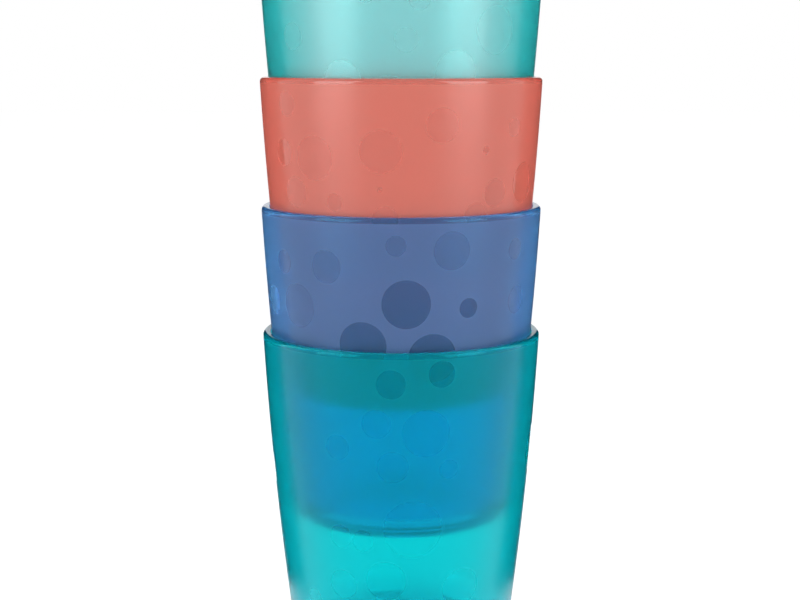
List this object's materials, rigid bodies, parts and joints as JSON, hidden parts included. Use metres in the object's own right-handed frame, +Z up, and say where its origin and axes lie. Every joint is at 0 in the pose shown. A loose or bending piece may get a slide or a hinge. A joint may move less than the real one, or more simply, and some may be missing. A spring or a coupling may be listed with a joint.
{
  "type": "stacking cup tower",
  "caption": "Tower of tapered see-through plastic tumblers with a frosted, spotted side, each one nested in the mouth of the one below.",
  "frame": {"origin": "centre of the ring that the lowest cup stands on", "axes": "+Z up along the cups' common axis; the side at -Y is the front"},
  "size_m": [0.0758, 0.0758, 0.1891],
  "materials": {
    "teal_plastic": "see-through polypropylene, frosted outside with polished round spots and a polished rim",
    "blue_plastic": "see-through polypropylene, frosted outside with polished round spots and a polished rim",
    "coral_plastic": "see-through polypropylene, frosted outside with polished round spots and a polished rim",
    "aqua_plastic": "see-through polypropylene, frosted outside with polished round spots and a polished rim"
  },
  "bodies": {
    "lowest": {"teal_cup": "teal_plastic"},
    "second": {"blue_cup": "blue_plastic"},
    "third": {"coral_cup": "coral_plastic"},
    "top": {"aqua_cup": "aqua_plastic"}
  },
  "joints": [
    {"name": "blue_lift", "type": "slide", "parent": "lowest", "child": "second", "axis": [0, 0, 1], "range_m": [0, 0.06]},
    {"name": "coral_lift", "type": "slide", "parent": "second", "child": "third", "axis": [0, 0, 1], "range_m": [0, 0.06]},
    {"name": "aqua_lift", "type": "slide", "parent": "third", "child": "top", "axis": [0, 0, 1], "range_m": [0, 0.06]}
  ]
}
